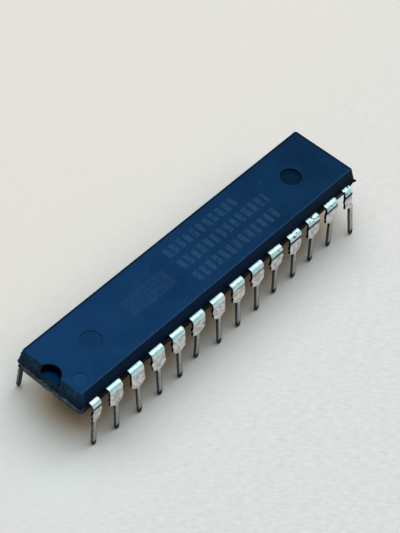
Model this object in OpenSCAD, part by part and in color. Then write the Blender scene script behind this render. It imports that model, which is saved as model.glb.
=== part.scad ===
// Integrated circuit in a narrow dual in-line package: a moulded body, two rows of
// stamped leads, and the pad, silicon and bond wires sealed inside.
// The lead tips stand on the plane z = 0, and the origin is midway between the rows.
// X runs along the body away from the notched end, and lead 1 is at -X, -Y.

/* [Body] */
// Width of the body at its parting line
body_w = 7.2; // [6.2:0.05:9]
// Thickness of the body from its underside to its top
body_h = 2.96; // [2.6:0.02:4]
// Body beyond the centre of the last lead, at the parting line
end_margin = 1.16; // [0.8:0.005:2]
// Height of the underside above the lead tips
seat_h = 3.85; // [3:0.05:6]
// Height of the parting line above the underside
parting_h = 1.45; // [1.2:0.05:1.9]
// Slope of the long sides above the parting line, in degrees from upright
side_draft = 11.5; // [4:0.5:18]
// Slope of the ends above the parting line, in degrees from upright
end_draft = 10; // [4:0.5:18]
// Slope of all walls below the parting line, in degrees from upright
lower_draft = 13.5; // [4:0.5:18]
// Flat cut across each upright corner, measured along the wall
corner_cut = 0.25; // [0.1:0.05:0.8]

/* [Marks in the body] */
// Radius of the notch in the end by lead 1, round a point over the end of the parting line
notch_r = 1.03; // [0.5:0.01:1.3]
// Depth of the notch
notch_depth = 0.8; // [0.2:0.05:0.9]
// Radius of the ejector-pin marks
ejector_r = 0.97; // [0.5:0.01:1.2]
// Centre of each ejector-pin mark to the end edge of the top face
ejector_in = 4.65; // [3.6:0.05:7]
// Depth of the mark nearer to the notch
near_mark_depth = 0.06; // [0.03:0.01:0.3]
// Depth of the mark at the other end
far_mark_depth = 0.22; // [0.03:0.01:0.4]
// Depth of the two marks in the underside
base_mark_depth = 0.05; // [0.03:0.01:0.3]
// Radius of the dot beside lead 1
dot_r = 0.65; // [0.3:0.01:0.7]
// Depth of that dot
dot_depth = 0.05; // [0.03:0.01:0.3]
// Rim of the dot to the end edge of the top face
dot_end_rim = 0.5; // [0.3:0.05:2]
// Rim of the dot to the side edge of the top face
dot_side_rim = 0.53; // [0.3:0.05:1.2]

/* [Leads outside the body] */
// Leads on each long side
leads_per_side = 14; // [8:1:14]
// Distance from one lead to the next along a row
pitch = 2.54; // [2.3:0.02:3]
// Thickness of the stamped strip
lead_t = 0.25; // [0.15:0.01:0.35]
// Width of a lead at its shoulder
shoulder_w = 1.5; // [0.9:0.02:1.8]
// Side wall of the body to the outer face of the bend
shoulder_reach = 0.5; // [0.5:0.02:0.9]
// Inner radius of the bend
bend_r = 0.2; // [0.1:0.01:0.24]
// How far the legs splay outwards, in degrees
splay = 4; // [0:0.5:8]
// Strip's middle plane to the lower end of the wide stretch
wide_drop = 1.75; // [1:0.05:2.4]
// Height of the taper from the wide stretch to the leg
taper_h = 0.35; // [0.1:0.05:0.6]
// Width of the narrow leg
leg_w = 0.46; // [0.36:0.01:0.6]
// Height of the pointed tip
tip_h = 0.4; // [0.2:0.05:0.9]
// Width of the tip at its very end
tip_w = 0.16; // [0.1:0.01:0.3]

/* [Lead frame inside the body] */
// How far the wide shoulder goes into the body
root_in = 0.35; // [0.2:0.01:0.5]
// Width of a finger where it leaves the shoulder
root_w = 0.5; // [0.3:0.01:0.7]
// Width of a finger at its bend
knee_w = 0.34; // [0.2:0.01:0.4]
// Width of a finger at its inner end
finger_w = 0.22; // [0.15:0.01:0.28]
// Fingers to the circle round the die pad's corners
finger_gap = 0.3; // [0.2:0.01:0.45]
// Width of the tie bars that hold the die pad
tie_w = 0.4; // [0.2:0.01:0.5]
// Tie bar to the first finger on either side
tie_gap = 0.2; // [0.1:0.01:0.3]
// How far the die pad lies below the fingers
downset = 0.25; // [0.1:0.01:0.4]
// Length of the slope in each tie bar
downset_run = 0.5; // [0.3:0.05:1]
// Die pad beyond the silicon on every side
pad_margin = 0.25; // [0.15:0.01:0.35]

/* [Silicon and bond wires] */
// Length of the silicon
die_l = 3.2; // [2:0.1:4.5]
// Width of the silicon
die_w = 1.9; // [1.4:0.1:2.2]
// Thickness of the silicon
die_t = 0.28; // [0.15:0.01:0.4]
// Thickness of the adhesive under the silicon
attach_t = 0.03; // [0.02:0.005:0.06]
// Adhesive squeezed out past the silicon
attach_rim = 0.1; // [0.02:0.01:0.14]
// Diameter of a bond wire
wire_d = 0.038; // [0.02:0.002:0.05]
// Diameter of the flattened ball on the silicon
ball_d = 0.08; // [0.06:0.005:0.12]
// Height of that ball
ball_h = 0.02; // [0.01:0.005:0.04]
// Ball to the edge of the silicon
ball_inset = 0.1; // [0.06:0.01:0.2]
// Height of a wire's arch above the line between its ends
loop_h = 0.3; // [0.15:0.01:0.45]
// Wire's foot to the inner end of its finger
foot_in = 0.2; // [0.15:0.01:0.3]

/* [Hidden] */
$fn = 24;
// Room by which a cutting solid runs past what it cuts
past = 1;
// Flat steps round the bend of a lead
bend_steps = 8;
// How far handling has bent each lead outwards from the splay, in degrees, along each row in turn
front_bent = [-2.5, 0.5, 3, 3, 3, -2, 2.5, 2, 1.5, -0.5, 0, -1.5, -1, 5.5];
back_bent = [4.5, 0, -2, -1, 1, 2, -1.5, 0.5, -3, -1, 1, -2, -1, 2.5];
// Degrees by which a wire's arch runs past its ends before it is cut off
arch_past = 8;
// Share of the way from the innermost to the outermost root where the fingers bend, in X and in Y
knee_share = [0.24, 0.55];

lead_count = 2 * leads_per_side;
last_x = pitch * (leads_per_side - 1) / 2;
half_l = last_x + end_margin;
half_w = body_w / 2;
parting_z = seat_h + parting_h;
top_z = seat_h + body_h;
rise = body_h - parting_h;
top_half_l = half_l - rise * tan(end_draft);
top_half_w = half_w - rise * tan(side_draft);
ejector_x = top_half_l - ejector_in;

strip_top = parting_z + lead_t / 2;
strip_base = parting_z - lead_t / 2;
root_y = half_w - root_in;
outer_bend_r = bend_r + lead_t;
bend_y = half_w + shoulder_reach - outer_bend_r;
bend_z = strip_top - outer_bend_r;
wide_z = parting_z - wide_drop;
leg_z = wide_z - taper_h;

pad_half = [die_l / 2 + pad_margin, die_w / 2 + pad_margin];
pad_top = strip_base + lead_t - downset;
// Half axes of the ellipse through the pad's corners, widened by the finger gap
tip_ring = [sqrt(2) * pad_half[0] + finger_gap, sqrt(2) * pad_half[1] + finger_gap];
knee_ring = [
    tip_ring[0] + knee_share[0] * (last_x - tip_ring[0]),
    tip_ring[1] + knee_share[1] * (root_y - tip_ring[1])
];
first_angle = asin((tie_w / 2 + tie_gap + finger_w / 2) / tip_ring[1]);
die_base = pad_top + attach_t;
die_top = die_base + die_t;
ball_ring = [die_l / 2 - ball_inset, die_w / 2 - ball_inset];

function two_digits(i) = i < 10 ? str("0", i) : str(i);
function lead_name(i) = str("lead_", two_digits(i));
function wire_name(i) = str("bond_wire_", two_digits(i));
function on_front(i) = i <= leads_per_side;
// Place along the body: up the front row, then back down the rear row
function lead_x(i) = pitch * (on_front(i)
    ? i - (leads_per_side + 1) / 2
    : (3 * leads_per_side + 1) / 2 - i);
function splay_of(i) = splay + (on_front(i) ? front_bent[i - 1] : back_bent[i - leads_per_side - 1]);
function is_end(i) = abs(lead_x(i)) > last_x - pitch / 2;
// How far the shoulder reaches to each side of the lead's middle, half of it missing at the ends
function side_reach(i, side) = is_end(i) && sign(lead_x(i)) == side ? leg_w / 2 : shoulder_w / 2;

// The fingers fan out over a quarter turn, from the tie bar to the middle of the long side
function fan_angle(i) = 90 - abs(lead_x(i)) / last_x * (90 - first_angle);
function on_ring(ring, i) = [sign(lead_x(i)) * ring[0] * cos(fan_angle(i)), ring[1] * sin(fan_angle(i))];
function unit(v) = v / norm(v);
function left_of(v) = [-v[1], v[0]];
function finger_path(i) = [[lead_x(i), root_y], on_ring(knee_ring, i), on_ring(tip_ring, i)];

// Bond points, seen from above, with Y counted outwards from the middle
function foot_point(i) = let (p = finger_path(i)) p[2] + foot_in * unit(p[1] - p[2]);
function ball_point(i) = let (p = finger_path(i)[2], across = ball_ring[1] / p[1])
    p * (abs(p[0]) * across > ball_ring[0] ? ball_ring[0] / abs(p[0]) : across);

// Outline with both walls sloping in from the parting line, above and below it
module drafted_outline(half, draft) {
    upper_in = rise * tan(draft);
    lower_in = parting_h * tan(lower_draft);
    polygon([
        [-half, parting_z],
        [-half + upper_in, top_z],
        [half - upper_in, top_z],
        [half, parting_z],
        [half - lower_in, seat_h],
        [-half + lower_in, seat_h]
    ]);
}

// That outline as a bar along Y
module drafted_bar(half, draft, length) {
    rotate([90, 0, 0])
        linear_extrude(length, center = true)
            drafted_outline(half, draft);
}

// Body with no marks and no hollows
module body_block() {
    corner_half = (half_l + half_w - corner_cut) / sqrt(2);
    long = 2 * (half_l + half_w + past);
    intersection() {
        drafted_bar(half_l, end_draft, body_w + past);
        rotate([0, 0, 90])
            drafted_bar(half_w, side_draft, long);
        rotate([0, 0, 45])
            drafted_bar(corner_half, side_draft, long);
        rotate([0, 0, -45])
            drafted_bar(corner_half, side_draft, long);
    }
}

// Round hollow of a given depth in the top face
module top_recess(x, y, r, depth) {
    translate([x, y, top_z - depth])
        cylinder(h = depth + past, r = r);
}

// Round hollow in the underside
module base_recess(x) {
    translate([x, 0, seat_h - past])
        cylinder(h = base_mark_depth + past, r = ejector_r);
}

module package_body() {
    color("#11345f")
    difference() {
        body_block();
        top_recess(-half_l, 0, notch_r, notch_depth);
        top_recess(-ejector_x, 0, ejector_r, near_mark_depth);
        top_recess(ejector_x, 0, ejector_r, far_mark_depth);
        top_recess(dot_end_rim + dot_r - top_half_l, dot_side_rim + dot_r - top_half_w, dot_r, dot_depth);
        base_recess(-ejector_x);
        base_recess(ejector_x);
        die_pad();
        die_attach();
        silicon_die();
        for (i = [1:lead_count]) {
            lead(i);
            bond_wire(i);
        }
    }
}

// Points of an arc from one angle to another
function arc(centre, r, from, to) = [
    for (k = [0:bend_steps])
        let (a = from + (to - from) * k / bend_steps)
        centre + r * [cos(a), sin(a)]
];

// Section of the bent strip, drawn with X outwards and Y upwards
module strip_section(lead_splay) {
    centre = [bend_y, bend_z];
    leg_out = [cos(lead_splay), sin(lead_splay)];
    leg_run = (bend_z / cos(lead_splay) + past) * [sin(lead_splay), -cos(lead_splay)];
    polygon(concat(
        [[root_y, strip_base]],
        arc(centre, bend_r, 90, lead_splay),
        [centre + bend_r * leg_out + leg_run, centre + outer_bend_r * leg_out + leg_run],
        arc(centre, outer_bend_r, lead_splay, 90),
        [[root_y, strip_top]]
    ));
}

// Front of a lead, drawn with X along the row and Y upwards
module lead_front(i) {
    left = side_reach(i, -1);
    right = side_reach(i, 1);
    polygon([
        [-left, strip_top + past],
        [-left, wide_z],
        [-leg_w / 2, leg_z],
        [-leg_w / 2, tip_h],
        [-tip_w / 2, 0],
        [tip_w / 2, 0],
        [leg_w / 2, tip_h],
        [leg_w / 2, leg_z],
        [right, wide_z],
        [right, strip_top + past]
    ]);
}

// Flat finger inside the body, bent once on its way to the die pad
module finger(i) {
    p = finger_path(i);
    root = [root_w / 2, 0];
    end_side = left_of(unit(p[2] - p[1]));
    tip = end_side * finger_w / 2;
    knee = unit(left_of(unit(p[1] - p[0])) + end_side) * knee_w / 2;
    start = p[0] + [0, root_in / 2];
    translate([0, 0, strip_base])
        linear_extrude(lead_t)
            polygon([
                start - root,
                p[0] - root,
                p[1] - knee,
                p[2] - tip,
                p[2] + tip,
                p[1] + knee,
                p[0] + root,
                start + root
            ]);
}

// One lead of the rear row: the formed strip, cut to its front outline, and its finger
module rear_lead(i) {
    outer_y = half_w + shoulder_reach + leg_z + past;
    translate([lead_x(i), 0, 0])
        intersection() {
            rotate([90, 0, 90])
                linear_extrude(2 * pitch, center = true)
                    strip_section(splay_of(i));
            translate([0, outer_y, 0])
                rotate([90, 0, 0])
                    linear_extrude(outer_y)
                        lead_front(i);
        }
    finger(i);
}

module lead(i) {
    color("#c9cfd0")
    if (on_front(i)) {
        mirror([0, 1, 0]) rear_lead(i);
    } else {
        rear_lead(i);
    }
}

// Die pad, a step below the fingers, with a tie bar out to each end wall
module die_pad() {
    color("#b8a888") {
        translate([-pad_half[0], -pad_half[1], pad_top - lead_t])
            cube([2 * pad_half[0], 2 * pad_half[1], lead_t]);
        tie_bar();
        mirror([1, 0, 0]) tie_bar();
    }
}

// Tie bar towards +X, sloping up from the pad and cut off flush with the end wall
module tie_bar() {
    foot = pad_half[0];
    slope_end = foot + downset_run;
    intersection() {
        rotate([90, 0, 0])
            linear_extrude(tie_w, center = true)
                polygon([
                    [foot, pad_top - lead_t],
                    [slope_end, strip_base],
                    [half_l + past, strip_base],
                    [half_l + past, strip_top],
                    [slope_end, strip_top],
                    [foot, pad_top]
                ]);
        drafted_bar(half_l, end_draft, body_w);
    }
}

module die_attach() {
    color("#9a9da0")
    translate([-die_l / 2 - attach_rim, -die_w / 2 - attach_rim, pad_top])
        cube([die_l + 2 * attach_rim, die_w + 2 * attach_rim, attach_t]);
}

module silicon_die() {
    color("#4b4f5c")
    translate([-die_l / 2, -die_w / 2, die_base])
        cube([die_l, die_w, die_t]);
}

// Wire in its own upright plane, drawn along X: a flattened ball on the silicon, and an arch
// from it down to the finger
module wire_run(span) {
    from = [0, die_top];
    to = [span, strip_top];
    chord = norm(to - from);
    along = (to - from) / chord;
    arch_r = (chord * chord / 4 + loop_h * loop_h) / (2 * loop_h);
    centre = (from + to) / 2 - left_of(along) * (arch_r - loop_h);
    first = atan2(to[1] - centre[1], to[0] - centre[0]) - arch_past;
    last = atan2(from[1] - centre[1], from[0] - centre[0]) + arch_past;
    translate([0, 0, die_top])
        cylinder(h = ball_h, d = ball_d);
    intersection() {
        translate([centre[0], 0, centre[1]])
            rotate([90, 0, 0])
                rotate_extrude(angle = last - first, start = first)
                    translate([arch_r, 0])
                        circle(d = wire_d);
        rotate([90, 0, 0])
            linear_extrude(2 * ball_d, center = true)
                polygon([
                    [-past, die_top],
                    [span / 2, die_top],
                    [span / 2, strip_top],
                    [span + past, strip_top],
                    [span + past, die_top + past],
                    [-past, die_top + past]
                ]);
    }
}

module rear_wire(i) {
    from = ball_point(i);
    to = foot_point(i);
    translate([from[0], from[1], 0])
        rotate([0, 0, atan2(to[1] - from[1], to[0] - from[0])])
            wire_run(norm(to - from));
}

module bond_wire(i) {
    color("#d8b45a")
    if (on_front(i)) {
        mirror([0, 1, 0]) rear_wire(i);
    } else {
        rear_wire(i);
    }
}

package_body();
die_pad();
die_attach();
silicon_die();
for (i = [1:lead_count]) {
    lead(i);
    bond_wire(i);
}
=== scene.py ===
import math

import bmesh
import bpy
import numpy as np
from mathutils import Matrix, Vector, geometry


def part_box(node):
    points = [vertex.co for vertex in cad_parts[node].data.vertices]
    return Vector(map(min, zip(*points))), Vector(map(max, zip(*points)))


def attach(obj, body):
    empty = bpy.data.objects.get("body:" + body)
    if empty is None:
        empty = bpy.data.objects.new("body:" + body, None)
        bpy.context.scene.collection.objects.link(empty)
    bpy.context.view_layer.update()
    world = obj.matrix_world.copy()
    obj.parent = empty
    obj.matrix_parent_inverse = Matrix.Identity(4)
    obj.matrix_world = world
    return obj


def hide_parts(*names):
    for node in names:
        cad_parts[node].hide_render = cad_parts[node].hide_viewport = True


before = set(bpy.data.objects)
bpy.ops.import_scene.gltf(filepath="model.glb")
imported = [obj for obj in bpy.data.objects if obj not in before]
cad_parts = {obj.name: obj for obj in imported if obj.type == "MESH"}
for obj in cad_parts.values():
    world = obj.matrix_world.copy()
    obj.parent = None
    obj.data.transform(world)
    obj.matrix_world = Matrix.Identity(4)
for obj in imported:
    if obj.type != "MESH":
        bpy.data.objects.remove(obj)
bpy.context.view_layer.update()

# The view. The part stands on paper and is seen from above its notched end, with leads 1 to 14
# towards the lens. The lens's place, roll and length follow from the leads' pitch in the picture.
mm = 0.001
sensor = 36.0
long_side, focal = 533, 2077.8  # in the picture's dots
bearing, climb, roll = math.radians(-143.313), math.radians(49.711), math.radians(6.215)
aim = Vector((2.661, 1.283, 2.0)) * mm
distance = 181.451 * mm
towards_lens = Vector(
    (math.cos(climb) * math.cos(bearing), math.cos(climb) * math.sin(bearing), math.sin(climb))
)
level = (-towards_lens).cross(Vector((0, 0, 1))).normalized()
upright = level.cross(-towards_lens)
right = level * math.cos(roll) + upright * math.sin(roll)
above = upright * math.cos(roll) - level * math.sin(roll)

lens = bpy.data.cameras.new("camera")
lens.lens = focal * sensor / long_side
lens.sensor_width = sensor
lens.clip_start, lens.clip_end = 0.01, 20.0
camera = bpy.data.objects.new("camera", lens)
turned = Matrix((right, above, towards_lens)).transposed().to_4x4()
camera.matrix_world = Matrix.Translation(aim + distance * towards_lens) @ turned
bpy.context.scene.collection.objects.link(camera)
bpy.context.scene.camera = camera
bpy.context.scene.view_settings.view_transform = "Standard"


# The die pad with its two tie bars. It is stamped from the same copper alloy sheet as the leads and
# stays bare: brownish, with the fine lines that rolling leaves along the strip.
def tone(red, green, blue):
    """Screen colour, each part 0 to 255, as the linear colour that a shader takes."""
    c = np.array([red, green, blue]) / 255
    c = np.where(c <= 0.04045, c / 12.92, ((c + 0.055) / 1.055) ** 2.4)
    return (*c.tolist(), 1.0)


class Signal:
    """A shader socket that Python's operators work on: each one adds a Math node."""

    def __init__(self, tree, socket):
        self.tree, self.socket = tree, socket

    def node(self, kind, settings=None, inputs=None, output=0):
        """Adds any node: first its settings, then its sockets from values or signals."""
        made = self.tree.nodes.new(kind)
        for key, value in (settings or {}).items():
            setattr(made, key, value)
        for key, value in (inputs or {}).items():
            if isinstance(value, Signal):
                self.tree.links.new(value.socket, made.inputs[key])
            else:
                made.inputs[key].default_value = value
        return Signal(self.tree, made.outputs[output])

    def maths(self, operation, *others):
        """One Math node, with this signal first."""
        terms = dict(enumerate((self, *others)))
        return self.node("ShaderNodeMath", {"operation": operation}, terms)

    def __add__(self, other):
        return self.maths("ADD", other)

    def __sub__(self, other):
        return self.maths("SUBTRACT", other)

    def __rsub__(self, other):
        return self.maths("MULTIPLY_ADD", -1.0, other)

    def __mul__(self, other):
        return self.maths("MULTIPLY", other)

    __radd__, __rmul__ = __add__, __mul__

    def rise(self, low, high):
        """Goes smoothly from 0 at low to 1 at high, and the other way round where high is lower."""
        ends = {"Value": self, "From Min": low, "From Max": high}
        return self.node("ShaderNodeMapRange", {"interpolation_type": "SMOOTHSTEP"}, ends)

    def within(self, low, high, soft):
        """Is 1 between low and high and 0 outside, each edge as wide as soft."""
        entered = self.rise(low - soft / 2, low + soft / 2)
        return entered * self.rise(high + soft / 2, high - soft / 2)

    def mix(self, first, second):
        """Goes from the first colour at 0 to the second at 1."""
        return self.node("ShaderNodeMix", {"data_type": "RGBA"}, {0: self, 6: first, 7: second}, 2)

    def noise(self, per_mm, detail=3.0, rough=0.55):
        """Cloudy noise about 0.5 on these coordinates, with so many lumps in a millimetre."""
        wanted = {"Vector": self, "Scale": per_mm / mm, "Detail": detail, "Roughness": rough}
        return self.node("ShaderNodeTexNoise", None, wanted)

    def stretched(self, x, y, z):
        """These coordinates, each times its own factor."""
        return self.node("ShaderNodeVectorMath", {"operation": "MULTIPLY"}, {0: self, 1: (x, y, z)})

    def axis(self, letter):
        """One of the three coordinates."""
        return self.node("ShaderNodeSeparateXYZ", None, {0: self}, letter)

    def bump(self, height, strength):
        """Surface normal for a relief of that height in millimetres."""
        wanted = {"Height": self, "Strength": strength, "Distance": height * mm}
        return self.node("ShaderNodeBump", None, wanted)


def new_finish(name, **sockets):
    """A material whose shader has these constants, and the signal of Object coordinates."""
    material = bpy.data.materials.new(name)
    material.use_nodes = True
    tree = material.node_tree
    shader = tree.nodes["Principled BSDF"]
    for key, value in sockets.items():
        shader.inputs[key.replace("_", " ")].default_value = value
    return material, Signal(tree, tree.nodes.new("ShaderNodeTexCoord").outputs["Object"])


def spread(material, **signals):
    """Feeds the signals to the shader's sockets."""
    shader = material.node_tree.nodes["Principled BSDF"]
    for key, value in signals.items():
        material.node_tree.links.new(value.socket, shader.inputs[key.replace("_", " ")])


def dress(name, material):
    """Gives a solid of the part its material."""
    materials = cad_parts[name].data.materials
    materials.clear()
    materials.append(material)


bare_copper, place = new_finish("bare_copper", Metallic=1.0)
rolled = place.stretched(0.15, 1.0, 1.0).noise(9.0)
stain = place.noise(0.8)
spread(
    bare_copper,
    Base_Color=stain.rise(0.3, 0.7).mix(tone(205, 150, 112), tone(168, 118, 88)),
    Roughness=rolled * 0.25 + 0.25,
    Normal=rolled.bump(0.004, 0.4),
)
dress("die_pad", bare_copper)

# The adhesive under the silicon: an epoxy paste full of silver flakes, squeezed out to a thin
# uneven rim and cured to a dull pale grey.
silver_paste, place = new_finish("silver_paste", Metallic=0.6)
flakes = place.noise(25.0, detail=5.0)
spread(
    silver_paste,
    Base_Color=flakes.rise(0.35, 0.65).mix(tone(128, 128, 126), tone(188, 188, 184)),
    Roughness=flakes * 0.3 + 0.4,
    Normal=flakes.bump(0.01, 0.6),
)
dress("die_attach", silver_paste)

# The silicon: a sawn slip of polished crystal. Its top carries the oxide's faint violet and green
# tints over a fine rectangular mesh of tracks, and its sides are dull from the saw.
silicon, place = new_finish("silicon", Metallic=0.5)
tracks = (place.axis("X") * (18 / mm)).maths("SINE")
lanes = (place.axis("Y") * (24 / mm)).maths("SINE")
oxide = place.noise(1.4, detail=2.0)
spread(
    silicon,
    Base_Color=(tracks * lanes).rise(-0.2, 0.6).mix(
        oxide.rise(0.35, 0.65).mix(tone(74, 66, 92), tone(70, 88, 84)), tone(120, 116, 112)
    ),
    Roughness=oxide * 0.15 + 0.12,
)
dress("silicon_die", silicon)

# The bond wires: drawn gold, each welded with a flattened ball to the silicon and pressed flat on
# the finger of its lead.
gold, place = new_finish("gold", Metallic=1.0)
drawn = place.noise(30.0, detail=2.0)
spread(
    gold,
    Base_Color=drawn.rise(0.3, 0.7).mix(tone(228, 178, 88), tone(246, 206, 122)),
    Roughness=drawn * 0.12 + 0.16,
)
leads_in_row = 14
for number in range(1, 2 * leads_in_row + 1):
    dress(f"bond_wire_{number:02d}", gold)


# The package body: black epoxy, moulded in two halves round the finished frame, with the sky's blue
# reflection painted into its colour. Its walls lean in from the parting line, where a little resin
# has crept out between the mould's halves.
def grid_faces(rows, columns, closed=False):
    """Quads of a grid of points, row by row; closed joins each row's end to its start."""
    a = np.arange(rows - 1)[:, None] * columns
    b = np.arange(columns if closed else columns - 1)[None, :]
    c = (b + 1) % columns
    return np.stack([a + b, a + c, a + columns + c, a + columns + b], axis=-1).reshape(-1, 4)


def make_piece(name, patches, material, **values):
    """One closed mesh of patches, each (points in mm, faces, whether smooth), facing outwards.

    Further values are kept as named numbers on the points.
    """
    points, faces, smooth, first = [], [], [], 0
    for corners, polygons, is_smooth in patches:
        points.append(np.asarray(corners, float).reshape(-1, 3) * mm)
        faces += [[first + k for k in polygon] for polygon in polygons]
        smooth += [is_smooth] * len(polygons)
        first += len(points[-1])
    mesh = bpy.data.meshes.new(name)
    mesh.from_pydata(np.concatenate(points).tolist(), [], faces)
    mesh.polygons.foreach_set("use_smooth", smooth)
    for key, numbers in values.items():
        layer = mesh.attributes.new(key, "FLOAT", "POINT")
        layer.data.foreach_set("value", np.asarray(numbers, np.float32).ravel())
    work = bmesh.new()
    work.from_mesh(mesh)
    bmesh.ops.remove_doubles(work, verts=work.verts, dist=0.0002 * mm)
    loose = [v for v in work.verts if not v.link_faces]
    bmesh.ops.delete(work, geom=loose, context="VERTS")
    bmesh.ops.recalc_face_normals(work, faces=work.faces)
    work.to_mesh(mesh)
    work.free()
    mesh.materials.append(material)
    piece = bpy.data.objects.new(name, mesh)
    bpy.context.scene.collection.objects.link(piece)
    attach(piece, "root")
    return piece


body_low, body_high = (np.array(corner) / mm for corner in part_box("package_body"))
film = 0.006  # resin left over the cut ends of the tie bars
half_length, half_width = body_high[:2] + [film, 0]
underside, crown = body_low[2], body_high[2]
parting = underside + 1.45
# How far the walls lean in for each millimetre of height: the ends and the long sides above the
# parting line, and all of them below it
end_lean, side_lean, lower_lean = (math.tan(math.radians(a)) for a in (10, 11.5, 13.5))
corner_r, edge_r, rim_r = 0.22, 0.11, 0.05
crown_end = half_length - (crown - parting) * end_lean
crown_side = half_width - (crown - parting) * side_lean
notch_r, notch_floor = 1.03, crown - 0.8
mark_r, mark_x = 0.97, crown_end - 4.65
near_mark_deep, far_mark_deep, base_mark_deep = 0.06, 0.22, 0.05
dot_r, dot_deep = 0.65, 0.05
dot_x, dot_y = dot_r + 0.5 - crown_end, dot_r + 0.53 - crown_side

# Heights of the wall's rows, and how far the round edges draw each row in
bend = np.linspace(0, math.pi / 2, 5)
flash_rows = np.array([-0.05, -0.02, 0.0, 0.02, 0.05])
first_flash = len(bend)
parting_row = first_flash + len(flash_rows) // 2
wall_z = np.concatenate(
    [
        underside + edge_r * (1 - np.cos(bend)),
        parting + flash_rows,
        [notch_floor, (notch_floor + crown - edge_r) / 2],
        crown - edge_r * (1 - np.sin(bend)),
    ]
)
drawn_in = np.zeros_like(wall_z)
drawn_in[: len(bend)] = edge_r * (1 - np.sin(bend))
drawn_in[-len(bend) :] = edge_r * (1 - np.cos(bend))
long_steps, end_steps, beside_notch, mouth_steps = 420, 80, 20, 10


def notch_edge(z, inset):
    """Radius of the notch at a height, and where its circle meets the end wall there.

    The circle's middle lies over the end of the parting line.
    """
    up_the_rim = np.clip(z - (crown - rim_r), 0, rim_r)
    r = notch_r + rim_r - np.sqrt(rim_r**2 - up_the_rim**2)
    x = inset + (z - parting) * end_lean
    return r, x, np.sqrt(r**2 - x**2)


def outline_at(z, inset):
    """Closed outline at a height, from the notch's +Y edge past +Y, +X and -Y round to it again.

    Straight walls between quarter circles; the last points lie across the notch's mouth.
    """
    above, below = max(z - parting, 0), max(parting - z, 0)
    end = half_length - above * end_lean - below * lower_lean - inset
    side = half_width - above * side_lean - below * lower_lean - inset
    reach = notch_edge(max(z, notch_floor), inset if z > notch_floor else 0.0)[2]
    turn = np.linspace(0, math.pi / 2, 9)
    cx, cy = end - corner_r, side - corner_r

    def corner(sx, sy, start):
        x = sx * cx + corner_r * np.cos(start - turn)
        return np.stack([x, sy * cy + corner_r * np.sin(start - turn)], -1)

    def straight(x0, y0, x1, y1, steps):
        return np.linspace((x0, y0), (x1, y1), steps + 1)

    return np.concatenate(
        [
            straight(-end, reach, -end, cy, beside_notch)[:-1],
            corner(-1, 1, math.pi),
            straight(-cx, side, cx, side, long_steps)[1:-1],
            corner(1, 1, math.pi / 2),
            straight(end, cy, end, -cy, end_steps)[1:-1],
            corner(1, -1, 0),
            straight(cx, -side, -cx, -side, long_steps)[1:-1],
            corner(-1, -1, -math.pi / 2),
            straight(-end, -cy, -end, -reach, beside_notch)[1:],
            straight(-end, -reach, -end, reach, mouth_steps)[1:-1],
        ]
    )


outline = np.stack([outline_at(z, inset) for z, inset in zip(wall_z, drawn_in)])
heights = np.broadcast_to(wall_z[:, None, None], (*outline.shape[:2], 1))
wall = np.concatenate([outline, heights], -1)
columns = wall.shape[1]
mouth = columns - mouth_steps  # the notch's -Y edge; its +Y edge is column 0

# Resin crept out at the parting line: a ragged lip, and a pointed burr at the corner by lead 14
rng = np.random.default_rng(28)
parting_line = wall[parting_row, :, :2]
way = np.roll(parting_line, -1, axis=0) - np.roll(parting_line, 1, axis=0)
way /= np.linalg.norm(way, axis=1)[:, None]
outwards = np.stack([-way[:, 1], way[:, 0]], -1)
every_third = np.arange(0, columns + 3, 3)
ragged = np.interp(np.arange(columns), every_third, rng.random(len(every_third)))
to_burr = np.linalg.norm(parting_line - [half_length - 0.06, 0.06 - half_width], axis=1)
lip = 0.015 + 0.05 * ragged**2 + 0.15 * np.exp(-((to_burr / 0.13) ** 2))
for row, share in enumerate((0.0, 0.75, 1.0, 0.75, 0.0), first_flash):
    wall[row, :, :2] += share * lip[:, None] * outwards

first_open = int(np.argmin(abs(wall_z - notch_floor)))
wall_faces = [
    q
    for q in grid_faces(len(wall_z), columns, closed=True).tolist()
    if not (q[0] // columns >= first_open and q[0] % columns >= mouth)
]

# The notch: its curved wall, row for row with the end wall, and its floor
notch_rows, sweep_points = [], 33
for z, inset in zip(wall_z[first_open:], drawn_in[first_open:]):
    r, x, reach = notch_edge(z, inset)
    sweep = np.linspace(1, -1, sweep_points) * math.atan2(reach, x)
    flat_arc = [r * np.cos(sweep) - half_length, r * np.sin(sweep)]
    notch_rows.append(np.stack([*flat_arc, np.full(sweep_points, z)], -1))
notch_wall = np.stack(notch_rows)
notch_base = np.concatenate([notch_wall[0], wall[first_open, mouth + 1 :]])
ring_steps = 64
spin = np.linspace(0, 2 * math.pi, ring_steps, endpoint=False)


def filled(loop, circles, z):
    """Flat face inside a closed outline, less some round holes (x, y, radius), as triangles."""
    loops = [loop] + [
        np.stack([x + r * np.cos(spin), y + r * np.sin(spin)], -1) for x, y, r in circles
    ]
    edges, start = [], 0
    for part in loops:
        n = len(part)
        edges += [(start + k, start + (k + 1) % n) for k in range(n)]
        start += n
    flat = [Vector(p) for p in np.concatenate(loops).tolist()]
    made = geometry.delaunay_2d_cdt(flat, edges, [list(range(len(loop)))], 1, 1e-7)
    points = np.array([(p.x, p.y) for p in made[0]])
    triangles = np.array(made[2])
    middle = points[triangles].mean(axis=1)
    keep = np.ones(len(triangles), bool)
    for x, y, r in circles:
        keep &= np.hypot(middle[:, 0] - x, middle[:, 1] - y) > r * 0.999
    return np.column_stack([points, np.full(len(points), z)]), triangles[keep].tolist(), False


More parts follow.
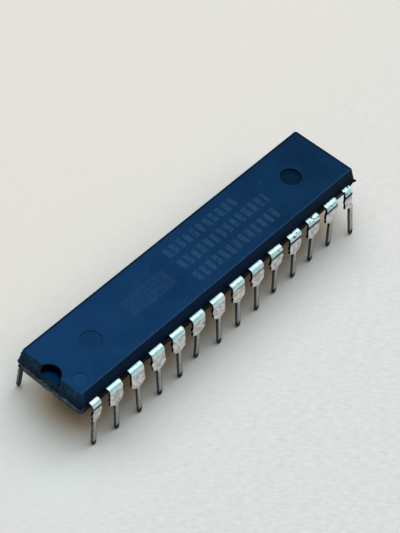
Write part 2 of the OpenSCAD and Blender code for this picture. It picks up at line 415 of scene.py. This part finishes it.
def sunk(x, y, r, depth, level, sign):
    """Round hollow: a profile of rim, wall and floor carried round a circle, down from a level."""
    round_r = min(rim_r, depth * 0.45)
    q = np.linspace(0, math.pi / 2, 5)
    away, back = round_r * (1 - np.sin(q)), round_r * (1 - np.cos(q))
    radii = np.concatenate([r + away, r - back, [r * 0.7, r * 0.3]])
    drop = np.concatenate([back, depth - away, [depth, depth]])
    points = np.stack(
        [
            x + radii[:, None] * np.cos(spin),
            y + radii[:, None] * np.sin(spin),
            np.broadcast_to((level - sign * drop)[:, None], (len(radii), ring_steps)),
        ],
        -1,
    )
    faces = grid_faces(len(radii), ring_steps, closed=True).tolist()
    innermost = range((len(radii) - 1) * ring_steps, len(radii) * ring_steps)
    return points, faces + [list(innermost)], True


hollows_above = [
    (-mark_x, 0, mark_r, near_mark_deep),
    (mark_x, 0, mark_r, far_mark_deep),
    (dot_x, dot_y, dot_r, dot_deep),
]
hollows_below = [(-mark_x, 0, mark_r, base_mark_deep), (mark_x, 0, mark_r, base_mark_deep)]
crown_loop = np.concatenate([wall[-1, : mouth + 1, :2], notch_wall[-1, ::-1, :2][1:-1]])
crown_holes = [(x, y, r + min(rim_r, depth * 0.45)) for x, y, r, depth in hollows_above]
base_holes = [(x, y, r + min(rim_r, depth * 0.45)) for x, y, r, depth in hollows_below]

moulded_epoxy, place = new_finish(
    "moulded_epoxy", Specular_IOR_Level=0.02, Specular_Tint=tone(150, 205, 235)
)
on_top = place.node("ShaderNodeAttribute", {"attribute_name": "top_face"}, None, "Fac")
run, across, height = (place.axis(letter) * (1 / mm) for letter in "XYZ")
clouds = place.noise(0.22, detail=2.0).rise(0.3, 0.7)
grain = place.noise(16.0, detail=3.0)
scuffs = place.stretched(0.5, 1.5, 1.5).noise(1.2, detail=6.0, rough=0.7)


def spot(x, y, r):
    """Is 1 inside an upright cylinder and 0 outside."""
    away = ((run - x) * (run - x) + (across - y) * (across - y)).maths("SQRT")
    return away.rise(r + 0.02, r - 0.04)


# The crown's blue is a painted reflection of the sky on the black resin, paler at the notched end
# and darker towards the far end. Handling has left it a little uneven, in soft patches some
# millimetres wide
crown_tone = clouds.mix(
    run.rise(-17.0, 17.0).mix(tone(22, 61, 103), tone(15, 50, 84)),
    run.rise(-17.0, 17.0).mix(tone(17, 54, 94), tone(11, 42, 73)),
)
# Painted shade in the ejector marks, a little in the near one and much in the far one; the pin-1 dot
# paler
crown_tone = (spot(-mark_x, 0, mark_r) * 0.5).mix(crown_tone, tone(20, 50, 82))
crown_tone = spot(mark_x, 0, mark_r).mix(crown_tone, tone(6, 34, 54))
crown_tone = (spot(dot_x, dot_y, dot_r) * 0.6).mix(crown_tone, tone(28, 68, 110))
# Plain blocks on the crown, only a little paler than the resin: three rows of them, and a panel
block_pitch = 0.83
strokes = (run * (2 * math.pi / block_pitch)).maths("SINE").rise(-0.55, -0.05)
block_rows = (
    across.within(1.2, 2.24, 0.1) * run.within(-2.0, 7.1, 0.1)
    + across.within(-0.5, 0.6, 0.1) * run.within(-2.0, 9.4, 0.1)
    + across.within(-2.3, -1.15, 0.1) * run.within(-2.0, 9.1, 0.1)
)
panel = across.within(-1.0, 1.0, 0.1) * run.within(-8.5, -3.2, 0.1)
# Patchy noise that wears the print and breaks up the near edge's painted highlight
wear_and_sheen = place.noise(2.5, detail=4.0).rise(0.25, 0.6)
blocks = (block_rows * strokes + panel * 0.4) * wear_and_sheen
crown_tone = (blocks * 0.24).mix(crown_tone, tone(72, 108, 138))
# The notch's floor, painted dark near its wall as shade, and the crown's edges: painted shade on the
# far sides, and a painted highlight, broken in patches, along the near side
in_notch = height.within(notch_floor - 0.05, notch_floor + 0.05, 0.05)
notch_tone = spot(-half_length, 0, 0.85 * notch_r).mix(tone(1, 14, 30), tone(3, 42, 80))
crown_tone = in_notch.mix(crown_tone, notch_tone)
far_rim_shade = run.rise(crown_end - 0.3, crown_end - 0.14)
far_rim_shade = far_rim_shade.maths("MAXIMUM", across.rise(crown_side - 0.3, crown_side - 0.14))
crown_tone = (far_rim_shade * 0.75).mix(crown_tone, tone(1, 12, 26))
near_rim_highlight = across.rise(0.22 - crown_side, 0.1 - crown_side) * wear_and_sheen
crown_tone = (near_rim_highlight * 0.45).mix(crown_tone, tone(52, 88, 116))
crown_tone = (scuffs.rise(0.62, 0.74) * 0.3).mix(crown_tone, tone(70, 110, 150))
# The walls: darker towards the parting line, painted darkest inside the notch as shade, greener at
# the far end, and paler at the notched end. Below the line the ends are scuffed and paler towards
# the foot, with painted shade along the rounded foot; the long sides there are painted nearly black
# as shade between the leads.
upper_wall = height.rise(parting, parting + 1.1).mix(tone(0, 10, 34), tone(6, 32, 58))
lower_wall = height.rise(parting, underside + 0.3).mix(tone(24, 42, 56), tone(48, 62, 72))
lower_wall = scuffs.rise(0.5, 0.6).mix(lower_wall, tone(104, 122, 136))
# Painted shade along the rounded foot
lower_wall = height.rise(underside + 0.12, underside + 0.02).mix(lower_wall, tone(12, 14, 16))
# Painted shade: below the line the long sides, between the leads, are nearly black
at_end = run.maths("ABSOLUTE").rise(half_length - 0.8, half_length - 0.5)
lower_wall = at_end.mix(tone(0, 9, 22), lower_wall)
upper_wall = run.rise(3.0, 16.0).mix(
    upper_wall, height.rise(parting, parting + 1.1).mix(tone(2, 12, 24), tone(14, 36, 52))
)
near_end = run.rise(0.75 - half_length, 0.45 - half_length)
upper_wall = near_end.mix(
    upper_wall, height.rise(parting, parting + 0.9).mix(tone(12, 34, 50), tone(20, 50, 74))
)
upper_wall = (near_end * scuffs.rise(0.48, 0.66) * 0.4).mix(upper_wall, tone(60, 88, 104))
# Painted shade on the notch's curved wall
notch_wall_shade = spot(-half_length, 0, notch_r + 0.06) * height.rise(notch_floor - 0.04, notch_floor)
upper_wall = notch_wall_shade.mix(upper_wall, tone(1, 8, 20))
wall_tone = height.rise(parting - 0.03, parting + 0.03).mix(lower_wall, upper_wall)
# Lit and shaded copies of the resin: the crown takes its painted reflection, the walls their painted
# shade
spread(
    moulded_epoxy,
    Base_Color=on_top.mix(wall_tone, crown_tone),
    Roughness=grain * 0.2 + 0.38,
    Normal=grain.bump(0.006, 0.5),
)
body = make_piece(
    "moulded_body",
    [
        (wall, wall_faces, False),
        (notch_wall, grid_faces(*notch_wall.shape[:2]).tolist(), True),
        (notch_base, [list(range(len(notch_base)))], False),
        filled(crown_loop, crown_holes, crown),
        filled(wall[0, :, :2], base_holes, underside),
    ]
    + [sunk(x, y, r, depth, crown, 1) for x, y, r, depth in hollows_above]
    + [sunk(x, y, r, depth, underside, -1) for x, y, r, depth in hollows_below],
    moulded_epoxy,
)
# top_face picks the upward faces, which take the crown's painted reflection
facing, middle = np.zeros((2, 3 * len(body.data.polygons)), np.float32)
body.data.polygons.foreach_get("normal", facing)
body.data.polygons.foreach_get("center", middle)
upward = np.where(middle[2::3] > (notch_floor - 0.1) * mm, facing[2::3], 0)
top_face = body.data.attributes.new("top_face", "FLOAT", "FACE")
top_face.data.foreach_set("value", np.interp(upward, [0.7, 0.99], [0, 1]))
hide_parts("package_body")


# The leads: one strip each, stamped with the frame, tinned, cut free of the bar that joined them
# and bent down. The cut sides are matte and ragged, and the tips are sheared to a point, painted
# dark for the bare cut metal and for the shade where they meet the paper.
pitch, lead_t, strip_r = 2.54, 0.25, 0.035
shoulder_half, leg_half, tip_half = 0.75, 0.23, 0.08
mid_bend_r, bend_y = 0.325, 3.65
bend_z = parting - mid_bend_r
plate_low, leg_top, tip_top = parting - 1.75, parting - 2.1, 0.4
root_y = half_width - 0.35
die_half, pad_beyond = (1.6, 0.95), 0.25
tip_ring = [math.sqrt(2) * (half + pad_beyond) + 0.3 for half in die_half]
last_x = pitch * (leads_in_row - 1) / 2
knee_along, knee_across = 0.24, 0.55
knee_ring = [
    tip_ring[0] + knee_along * (last_x - tip_ring[0]),
    tip_ring[1] + knee_across * (root_y - tip_ring[1]),
]
tie_half, tie_gap, finger_half = 0.2, 0.2, 0.11
first_angle = math.asin((tie_half + tie_gap + finger_half) / tip_ring[1])


def finger_points(x):
    """Inner end and knee of a finger, on two ellipses, at an angle that follows its lead's place."""
    angle = math.pi / 2 - abs(x) / last_x * (math.pi / 2 - first_angle)
    side = np.sign(x)
    rings = (tip_ring, knee_ring)
    return [(side * ring[0] * math.cos(angle), ring[1] * math.sin(angle)) for ring in rings]


# The strip's section: its corner circles' share of the width, the circles' sides, and the same in
# its thickness
face_points, corner_points = 9, 4
face = np.linspace(0, 1, face_points)
turn = np.linspace(0, math.pi / 2, corner_points)
sine, cosine = np.sin(turn), np.cos(turn)
none, whole, whole_turn = np.zeros(face_points), np.ones(face_points), np.ones(corner_points)
side_points = 2 * corner_points
section_share = np.concatenate([face, np.ones(side_points), face[::-1], np.zeros(side_points)])
section_side = np.concatenate([none, sine, cosine, none, -sine, -cosine])
section_half = np.concatenate([whole, whole_turn, -whole_turn, -whole, -whole_turn, whole_turn])
section_lift = np.concatenate([whole, cosine, -sine, -whole, -cosine, sine])


def lead_strip(x, bent, left, right, seed):
    """Strip of a rear lead: its section carried along the finger, the bend and the leg.

    A station has a middle, the strip's crosswise direction, the outer face's direction, and the
    widths to the left and right of the middle. The result is the points, how far along the strip
    each lies from the tip, and a mark for its colour: 0 where plated, 1 where cut, 2 on the inner
    face, which is painted in shade, and part values on the legs' edges, painted darker as shade.
    """
    tip, knee = finger_points(x)
    plan = np.array([tip, knee, (x, root_y)])
    way = np.diff(plan, axis=0)
    way /= np.linalg.norm(way, axis=1)[:, None]
    way = np.array([way[0], way[0] + way[1], (0, 1)])
    way /= np.linalg.norm(way, axis=1)[:, None]
    inner = np.array([tip, knee, (x, root_y - 0.02)])
    inner_mid = np.column_stack([inner, np.full(len(inner), parting)])
    inner_cross = np.column_stack([way[:, 1], -way[:, 0], np.zeros(len(inner))])

    flat_y = np.concatenate([[root_y], np.linspace(half_width - 0.05, bend_y, 6)])
    flat_mid = np.stack([flat_y, np.full(len(flat_y), parting)], -1)
    angle = np.linspace(math.pi / 2, bent, 15)[1:]
    bend_mid = mid_bend_r * np.stack([np.cos(angle), np.sin(angle)], -1) + [bend_y, bend_z]
    leg_z = np.concatenate(
        [
            np.linspace(bend_mid[-1, 1], leg_top, 46)[1:],
            np.linspace(leg_top, tip_top, 26)[1:],
            tip_top * (1 - np.sin(np.linspace(0, math.pi / 2, 9)[1:-1])),
            [0.02, 0.0],
        ]
    )
    leg_mid = np.stack([bend_mid[-1, 0] + (bend_mid[-1, 1] - leg_z) * math.tan(bent), leg_z], -1)
    outer = np.concatenate([flat_mid, bend_mid, leg_mid])
    facing = np.concatenate([np.full(len(flat_y), math.pi / 2), angle, np.full(len(leg_z), bent)])
    middle = np.concatenate([inner_mid, np.column_stack([np.full(len(outer), x), outer])])
    cross = np.concatenate([inner_cross, np.tile([1.0, 0, 0], (len(outer), 1))])
    outer_way = np.stack([np.zeros(len(outer)), np.cos(facing), np.sin(facing)], -1)
    face_way = np.concatenate([np.tile([0, 0, 1.0], (len(inner), 1)), outer_way])

    z = middle[:, 2]
    steps = np.concatenate([[0], np.cumsum(np.linalg.norm(np.diff(middle, axis=0), axis=1))])
    along = steps[-1] - steps
    bent_from = len(inner) + len(flat_y)  # the bend's first station
    draw = np.random.default_rng(seed)
    widths, knot_count = [], 60
    for half in (left, right):
        levels = [0, 0.12, tip_top, leg_top, plate_low]
        w = np.interp(z[bent_from:], levels, [tip_half, 0.15, leg_half, leg_half, half])
        w = np.concatenate([[finger_half, 0.17, 0.25], np.full(len(flat_y), half), w])
        stub = draw.uniform(0.02, 0.09) * np.exp(-(((z - draw.uniform(4.1, 4.5)) / 0.22) ** 2))
        knots = draw.normal(0, 1, knot_count)
        rough = np.interp(along, np.linspace(0, 12, knot_count), knots)
        levels = [0, leg_top - 0.3, leg_top, plate_low, 4.6, 4.9]
        amount = np.interp(z, levels, [0.006, 0.01, 0.05, 0.06, 0.03, 0.008])
        amount[:bent_from] = 0.0
        w = w + (half > leg_half) * stub * (z < 4.9) + rough * amount
        widths.append(np.maximum(w, 0.05))
    end = np.interp(z, [0.0, 0.1], [0.55, 1.0])
    half_t = lead_t / 2 * end
    core = widths[0] + widths[1] - 2 * strip_r
    a = -(widths[0] - strip_r)[:, None] + core[:, None] * section_share + strip_r * section_side
    b = (half_t - strip_r)[:, None] * section_half + strip_r * section_lift
    points = middle[:, None] + a[..., None] * cross[:, None] + b[..., None] * face_way[:, None]
    # The legs' front faces are painted darker towards their edges, as shade on the rounded edges
    rim = np.interp(abs(section_share - 0.5), [0.3, 0.37, 0.5], [0, 0.6, 0.75])
    rim = rim * (z < leg_top + 0.1)[:, None]
    dull = np.where(section_lift < -0.8, 2.0, np.where(abs(section_side) > 0.8, 1.0, rim))
    return points, np.broadcast_to(along[:, None], a.shape), dull


tinned_lead, place = new_finish("tinned_lead", Metallic=1.0)
along = place.node("ShaderNodeAttribute", {"attribute_name": "along"}, None, "Fac")
dull = place.node("ShaderNodeAttribute", {"attribute_name": "dull"}, None, "Fac")
run = place.axis("X") * (1 / mm)
blotch = place.noise(3.2, detail=4.0)
fine = place.stretched(1.0, 1.0, 0.4).noise(14.0, detail=4.0)
# Mottled plates and greyer legs. The shoulders are painted with the window's blue reflection, with a
# dark reflection painted along the bend under some of them, and specks on those at the far end; the
# numbers are millimetres from the tip
front_tin = blotch.rise(0.38, 0.62).mix(tone(228, 227, 225), tone(184, 182, 181))
leg_tin = fine.rise(0.3, 0.7).mix(tone(198, 199, 200), tone(126, 127, 129))
plated = along.rise(3.5, 2.8).mix(front_tin, leg_tin)
shoulder = along.rise(4.98, 5.06)
plated = shoulder.mix(plated, blotch.rise(0.4, 0.6).mix(tone(227, 254, 255), tone(192, 242, 255)))
bend_dark_reflection = along.within(4.68, 5.03, 0.06) * (run.rise(-2.0, 8.0) + run.rise(-15.5, -15.7) * 0.9)
plated = (bend_dark_reflection * 0.95).mix(plated, tone(12, 32, 52))
specks = place.stretched(1.0, 1.6, 1.6).noise(3.2, detail=0.0).rise(0.63, 0.67)
specks = specks * shoulder * run.rise(2.0, 9.0)
plated = (specks * 0.85).mix(plated, tone(20, 60, 84))
# Painted dark at the tip: the bare sheared end, and shade where it meets the paper
plated = along.rise(0.75, 0.5).mix(plated, tone(22, 22, 25))
sheared = along.rise(0.45, 0.8).mix(tone(22, 22, 25), tone(92, 92, 94))
# Painted shade: high up, under the shoulders, the cut sides are nearly black
sheared = along.rise(2.6, 3.4).mix(sheared, tone(24, 24, 28))
# The inner faces, under the body, are painted nearly black as shade
spread(
    tinned_lead,
    Base_Color=dull.rise(1.4, 1.9).mix(dull.rise(0.4, 0.9).mix(plated, sheared), tone(20, 20, 22)),
    Roughness=shoulder * 0.05 + (blotch * 0.3 + 0.28),
    Normal=fine.bump(0.01, 0.5),
)
middle_number = (leads_in_row + 1) / 2
for number in range(1, 2 * leads_in_row + 1):
    name = f"lead_{number:02d}"
    front = number <= leads_in_row
    x = pitch * (number - middle_number if front else middle_number + leads_in_row - number)
    low, high = (np.array(corner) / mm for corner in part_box(name))
    out = abs(low[1] if front else high[1]) - bend_y
    reach = math.hypot(out, bend_z)
    bent = math.acos((mid_bend_r + lead_t / 2) / reach) - math.atan2(bend_z, out)
    left = leg_half if x < 0.1 - last_x else shoulder_half
    right = leg_half if x > last_x - 0.1 else shoulder_half
    points, along_points, dull_points = lead_strip(x, bent, left, right, number)
    if front:
        points = points * [1, -1, 1]
    rows, around = points.shape[:2]
    faces = grid_faces(rows, around, closed=True).tolist()
    faces += [list(range(around)), list(range((rows - 1) * around, rows * around))]
    piece = make_piece(
        f"formed_lead_{number:02d}",
        [(points, faces, True)],
        tinned_lead,
        along=along_points,
        dull=dull_points,
    )
    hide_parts(name)


# The table: a sheet of warm white paper, under a broad soft light overhead and a cooler window
# beyond the part's far end, with the room's own warm light from all round.
paper, place = new_finish("paper", Specular_IOR_Level=0.1)
u, v = (place.axis(letter) for letter in "XY")
run, across = u * (1 / mm), v * (1 / mm)
past, beside = run.maths("ABSOLUTE"), across.maths("ABSOLUTE")
fibres = place.stretched(1.0, 2.2, 1.0).noise(0.9, detail=5.0, rough=0.65)
# Painted light: the sheet is cooler in front and warmer towards the far side
far = across.rise(-22.0, 22.0)
white = fibres.rise(0.3, 0.7).mix(
    far.mix(tone(227, 230, 231), tone(232, 231, 226)),
    far.mix(tone(222, 225, 226), tone(231, 229, 223)),
)
# The sheet's grain runs aslant to the part, and shows most in front of it
aslant = place.node("ShaderNodeCombineXYZ", None, {0: u * 0.6 - v * 0.8, 1: u * 2.4 + v * 1.8})
weave = aslant.noise(1.3, detail=5.0, rough=0.7)
white = (weave.rise(0.5, 0.68) * (1.0 - far) * 0.38).mix(white, tone(248, 249, 249))
white = (weave.rise(0.5, 0.32) * (1.0 - far) * 0.38).mix(white, tone(204, 206, 206))
# Painted light on the sheet: shade round the leads greys it, a pool of cool window light lies before
# the notched end, and the body's shadow is painted brown under it, paler under the notched end
shade_round_leads = beside.rise(11.0, 4.0) * past.rise(19.5, 14.0)
white = (shade_round_leads * 0.6).mix(white, tone(190, 199, 198))
cool_light_pool = run.rise(-13.0, -19.0) * run.rise(-32.0, -20.0) * beside.rise(13.0, 4.0)
white = (cool_light_pool * 0.6).mix(white, tone(228, 240, 240))
body_shadow = beside.rise(4.6, 1.2) * past.rise(18.5, 15.0)
shadow_brown = run.rise(-11.0, -17.0).mix(tone(222, 198, 162), tone(246, 230, 204))
spread(
    paper,
    Base_Color=body_shadow.mix(white, shadow_brown),
    Roughness=fibres * 0.1 + 0.75,
    Normal=fibres.bump(0.05, 0.2),
)
sheet = bpy.data.meshes.new("paper")
sheet.from_pydata([(-3, -3, 0), (3, -3, 0), (3, 3, 0), (-3, 3, 0)], [], [(0, 1, 2, 3)])
sheet.materials.append(paper)
table = bpy.data.objects.new("paper", sheet)
bpy.context.scene.collection.objects.link(table)


def soft_light(name, way, distance, wide, tall, radiance, colour):
    """Evenly bright panel that faces the part from a given way."""
    panel = bpy.data.lights.new(name, "AREA")
    panel.shape, panel.size, panel.size_y = "RECTANGLE", wide, tall
    panel.energy, panel.color = radiance * math.pi * wide * tall, colour
    lamp = bpy.data.objects.new(name, panel)
    way = Vector(way).normalized()
    turned = way.to_track_quat("Z", "Y").to_matrix().to_4x4()
    lamp.matrix_world = Matrix.Translation(way * distance) @ turned
    bpy.context.scene.collection.objects.link(lamp)


soft_light("ceiling", (0.12, 0.06, 1.0), 0.8, 1.05, 1.05, 2.2, (0.97, 0.985, 1.0))
soft_light("window", (0.9, -0.15, 0.46), 0.9, 1.8, 0.9, 0.66, (0.84, 0.97, 1.0))

room = bpy.data.worlds.new("room")
room.use_nodes = True
room.node_tree.nodes["Background"].inputs["Color"].default_value = (1.0, 0.78, 0.50, 1.0)
room.node_tree.nodes["Background"].inputs["Strength"].default_value = 0.12
bpy.context.scene.world = room
